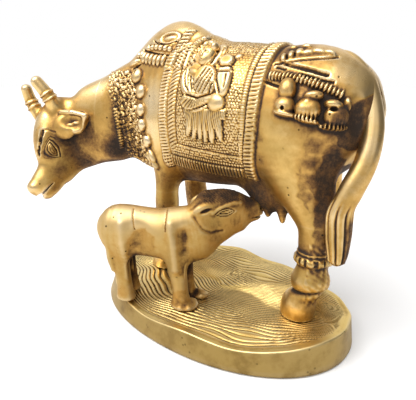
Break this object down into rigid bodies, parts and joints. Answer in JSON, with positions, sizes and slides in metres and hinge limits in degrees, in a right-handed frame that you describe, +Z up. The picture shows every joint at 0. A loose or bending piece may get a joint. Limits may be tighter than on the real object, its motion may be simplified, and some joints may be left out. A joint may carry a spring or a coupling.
{
  "type": "cast metal animal figurine",
  "caption": "Cast brass humped cow in a carved saddle cloth, turning its head as it suckles a calf, on an oval base with a rippled top.",
  "frame": {"origin": "centre of the base's flat underside", "axes": "+Z up, -X the cow's front, -Y the cow's left flank, where the calf stands"},
  "size_m": [0.1935, 0.0905, 0.1407],
  "materials": {
    "base_brass": "satin, dull in the grooves",
    "cow_brass": "polished on the high places, dark patina in the hollows",
    "calf_brass": "satin with a darkened head"
  },
  "bodies": {
    "root": {"base": "base_brass", "cow": "cow_brass", "calf": "calf_brass"}
  },
  "joints": []
}
